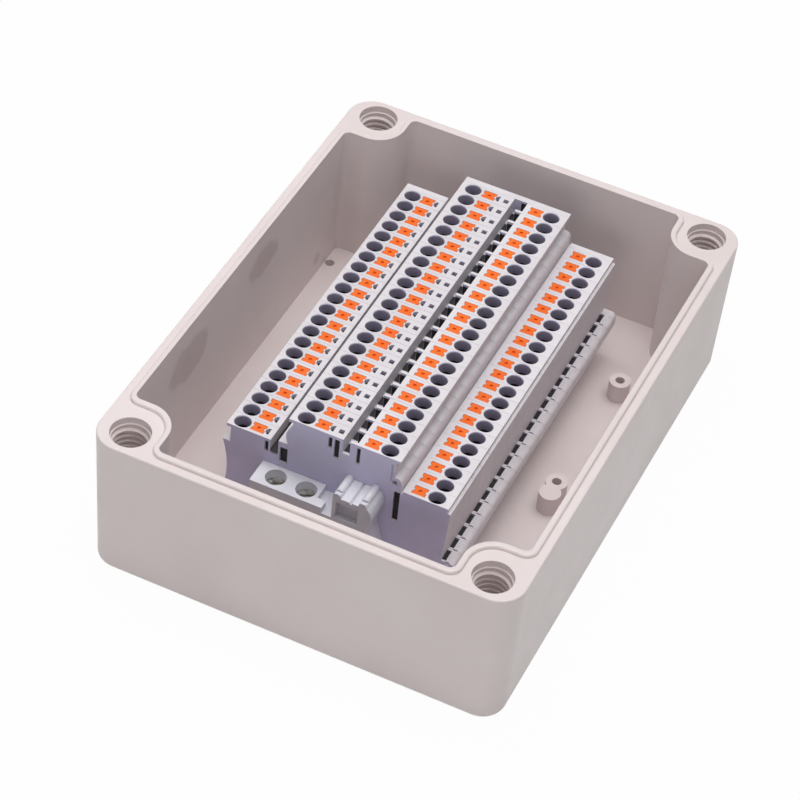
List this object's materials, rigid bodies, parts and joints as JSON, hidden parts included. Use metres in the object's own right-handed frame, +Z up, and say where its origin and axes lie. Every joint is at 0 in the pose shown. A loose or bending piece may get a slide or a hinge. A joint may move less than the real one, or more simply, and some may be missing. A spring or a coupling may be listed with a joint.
{
  "type": "junction box",
  "caption": "Open rectangular enclosure base holding a rail of double-level push-in terminals with release buttons.",
  "frame": {"origin": "centre of the underside of the base", "axes": "+Z up out of the open side, +Y along the long side and the rail towards the back, +X along the short side to the right"},
  "size_m": [0.125, 0.169, 0.051],
  "materials": {
    "enclosure_plastic": "light warm grey moulded plastic, satin outside and smoother inside",
    "terminal_plastic": "light grey moulded polyamide, matt",
    "bracket_plastic": "light grey moulded plastic, matt",
    "button_plastic": "orange moulded plastic, satin",
    "rail_steel": "zinc-plated folded sheet",
    "screw_steel": "zinc-plated, turned",
    "bar_copper": "copper alloy strip, bright",
    "spring_steel": "bright spring strip"
  },
  "bodies": {
    "box": {"bracket_screws": "screw_steel", "clamp_spring_lower_left": "spring_steel", "clamp_spring_lower_right": "spring_steel", "clamp_spring_upper_left": "spring_steel", "clamp_spring_upper_right": "spring_steel", "current_bar_lower": "bar_copper", "current_bar_upper": "bar_copper", "din_rail": "rail_steel", "enclosure_base": "enclosure_plastic", "end_bracket_far": "bracket_plastic", "end_bracket_near": "bracket_plastic", "end_cover": "terminal_plastic", "rail_screws": "screw_steel", "terminal_01": "terminal_plastic", "terminal_02": "terminal_plastic", "terminal_03": "terminal_plastic", "terminal_04": "terminal_plastic", "terminal_05": "terminal_plastic", "terminal_06": "terminal_plastic", "terminal_07": "terminal_plastic", "terminal_08": "terminal_plastic", "terminal_09": "terminal_plastic", "terminal_10": "terminal_plastic", "terminal_11": "terminal_plastic", "terminal_12": "terminal_plastic", "terminal_13": "terminal_plastic", "terminal_14": "terminal_plastic", "terminal_15": "terminal_plastic", "terminal_16": "terminal_plastic", "terminal_17": "terminal_plastic", "terminal_18": "terminal_plastic", "terminal_19": "terminal_plastic", "terminal_20": "terminal_plastic", "terminal_21": "terminal_plastic", "terminal_22": "terminal_plastic"},
    "button_01_lower_left": {"button_01_lower_left": "button_plastic"},
    "button_01_lower_right": {"button_01_lower_right": "button_plastic"},
    "button_01_upper_left": {"button_01_upper_left": "button_plastic"},
    "button_01_upper_right": {"button_01_upper_right": "button_plastic"},
    "button_02_lower_left": {"button_02_lower_left": "button_plastic"},
    "button_02_lower_right": {"button_02_lower_right": "button_plastic"},
    "button_02_upper_left": {"button_02_upper_left": "button_plastic"},
    "button_02_upper_right": {"button_02_upper_right": "button_plastic"},
    "button_03_lower_left": {"button_03_lower_left": "button_plastic"},
    "button_03_lower_right": {"button_03_lower_right": "button_plastic"},
    "button_03_upper_left": {"button_03_upper_left": "button_plastic"},
    "button_03_upper_right": {"button_03_upper_right": "button_plastic"},
    "button_04_lower_left": {"button_04_lower_left": "button_plastic"},
    "button_04_lower_right": {"button_04_lower_right": "button_plastic"},
    "button_04_upper_left": {"button_04_upper_left": "button_plastic"},
    "button_04_upper_right": {"button_04_upper_right": "button_plastic"},
    "button_05_lower_left": {"button_05_lower_left": "button_plastic"},
    "button_05_lower_right": {"button_05_lower_right": "button_plastic"},
    "button_05_upper_left": {"button_05_upper_left": "button_plastic"},
    "button_05_upper_right": {"button_05_upper_right": "button_plastic"},
    "button_06_lower_left": {"button_06_lower_left": "button_plastic"},
    "button_06_lower_right": {"button_06_lower_right": "button_plastic"},
    "button_06_upper_left": {"button_06_upper_left": "button_plastic"},
    "button_06_upper_right": {"button_06_upper_right": "button_plastic"}
  },
  "joints": [
    {"name": "press_01_lower_left", "type": "slide", "parent": "box", "child": "button_01_lower_left", "axis": [0, 0, -1], "range_m": [0, 0.0012], "stiffness_N_per_m": 1500},
    {"name": "press_01_lower_right", "type": "slide", "parent": "box", "child": "button_01_lower_right", "axis": [0, 0, -1], "range_m": [0, 0.0012], "stiffness_N_per_m": 1500},
    {"name": "press_01_upper_left", "type": "slide", "parent": "box", "child": "button_01_upper_left", "axis": [0, 0, -1], "range_m": [0, 0.0012], "stiffness_N_per_m": 1500},
    {"name": "press_01_upper_right", "type": "slide", "parent": "box", "child": "button_01_upper_right", "axis": [0, 0, -1], "range_m": [0, 0.0012], "stiffness_N_per_m": 1500},
    {"name": "press_02_lower_left", "type": "slide", "parent": "box", "child": "button_02_lower_left", "axis": [0, 0, -1], "range_m": [0, 0.0012], "stiffness_N_per_m": 1500},
    {"name": "press_02_lower_right", "type": "slide", "parent": "box", "child": "button_02_lower_right", "axis": [0, 0, -1], "range_m": [0, 0.0012], "stiffness_N_per_m": 1500},
    {"name": "press_02_upper_left", "type": "slide", "parent": "box", "child": "button_02_upper_left", "axis": [0, 0, -1], "range_m": [0, 0.0012], "stiffness_N_per_m": 1500},
    {"name": "press_02_upper_right", "type": "slide", "parent": "box", "child": "button_02_upper_right", "axis": [0, 0, -1], "range_m": [0, 0.0012], "stiffness_N_per_m": 1500},
    {"name": "press_03_lower_left", "type": "slide", "parent": "box", "child": "button_03_lower_left", "axis": [0, 0, -1], "range_m": [0, 0.0012], "stiffness_N_per_m": 1500},
    {"name": "press_03_lower_right", "type": "slide", "parent": "box", "child": "button_03_lower_right", "axis": [0, 0, -1], "range_m": [0, 0.0012], "stiffness_N_per_m": 1500},
    {"name": "press_03_upper_left", "type": "slide", "parent": "box", "child": "button_03_upper_left", "axis": [0, 0, -1], "range_m": [0, 0.0012], "stiffness_N_per_m": 1500},
    {"name": "press_03_upper_right", "type": "slide", "parent": "box", "child": "button_03_upper_right", "axis": [0, 0, -1], "range_m": [0, 0.0012], "stiffness_N_per_m": 1500},
    {"name": "press_04_lower_left", "type": "slide", "parent": "box", "child": "button_04_lower_left", "axis": [0, 0, -1], "range_m": [0, 0.0012], "stiffness_N_per_m": 1500},
    {"name": "press_04_lower_right", "type": "slide", "parent": "box", "child": "button_04_lower_right", "axis": [0, 0, -1], "range_m": [0, 0.0012], "stiffness_N_per_m": 1500},
    {"name": "press_04_upper_left", "type": "slide", "parent": "box", "child": "button_04_upper_left", "axis": [0, 0, -1], "range_m": [0, 0.0012], "stiffness_N_per_m": 1500},
    {"name": "press_04_upper_right", "type": "slide", "parent": "box", "child": "button_04_upper_right", "axis": [0, 0, -1], "range_m": [0, 0.0012], "stiffness_N_per_m": 1500},
    {"name": "press_05_lower_left", "type": "slide", "parent": "box", "child": "button_05_lower_left", "axis": [0, 0, -1], "range_m": [0, 0.0012], "stiffness_N_per_m": 1500},
    {"name": "press_05_lower_right", "type": "slide", "parent": "box", "child": "button_05_lower_right", "axis": [0, 0, -1], "range_m": [0, 0.0012], "stiffness_N_per_m": 1500},
    {"name": "press_05_upper_left", "type": "slide", "parent": "box", "child": "button_05_upper_left", "axis": [0, 0, -1], "range_m": [0, 0.0012], "stiffness_N_per_m": 1500},
    {"name": "press_05_upper_right", "type": "slide", "parent": "box", "child": "button_05_upper_right", "axis": [0, 0, -1], "range_m": [0, 0.0012], "stiffness_N_per_m": 1500},
    {"name": "press_06_lower_left", "type": "slide", "parent": "box", "child": "button_06_lower_left", "axis": [0, 0, -1], "range_m": [0, 0.0012], "stiffness_N_per_m": 1500},
    {"name": "press_06_lower_right", "type": "slide", "parent": "box", "child": "button_06_lower_right", "axis": [0, 0, -1], "range_m": [0, 0.0012], "stiffness_N_per_m": 1500},
    {"name": "press_06_upper_left", "type": "slide", "parent": "box", "child": "button_06_upper_left", "axis": [0, 0, -1], "range_m": [0, 0.0012], "stiffness_N_per_m": 1500},
    {"name": "press_06_upper_right", "type": "slide", "parent": "box", "child": "button_06_upper_right", "axis": [0, 0, -1], "range_m": [0, 0.0012], "stiffness_N_per_m": 1500}
  ]
}
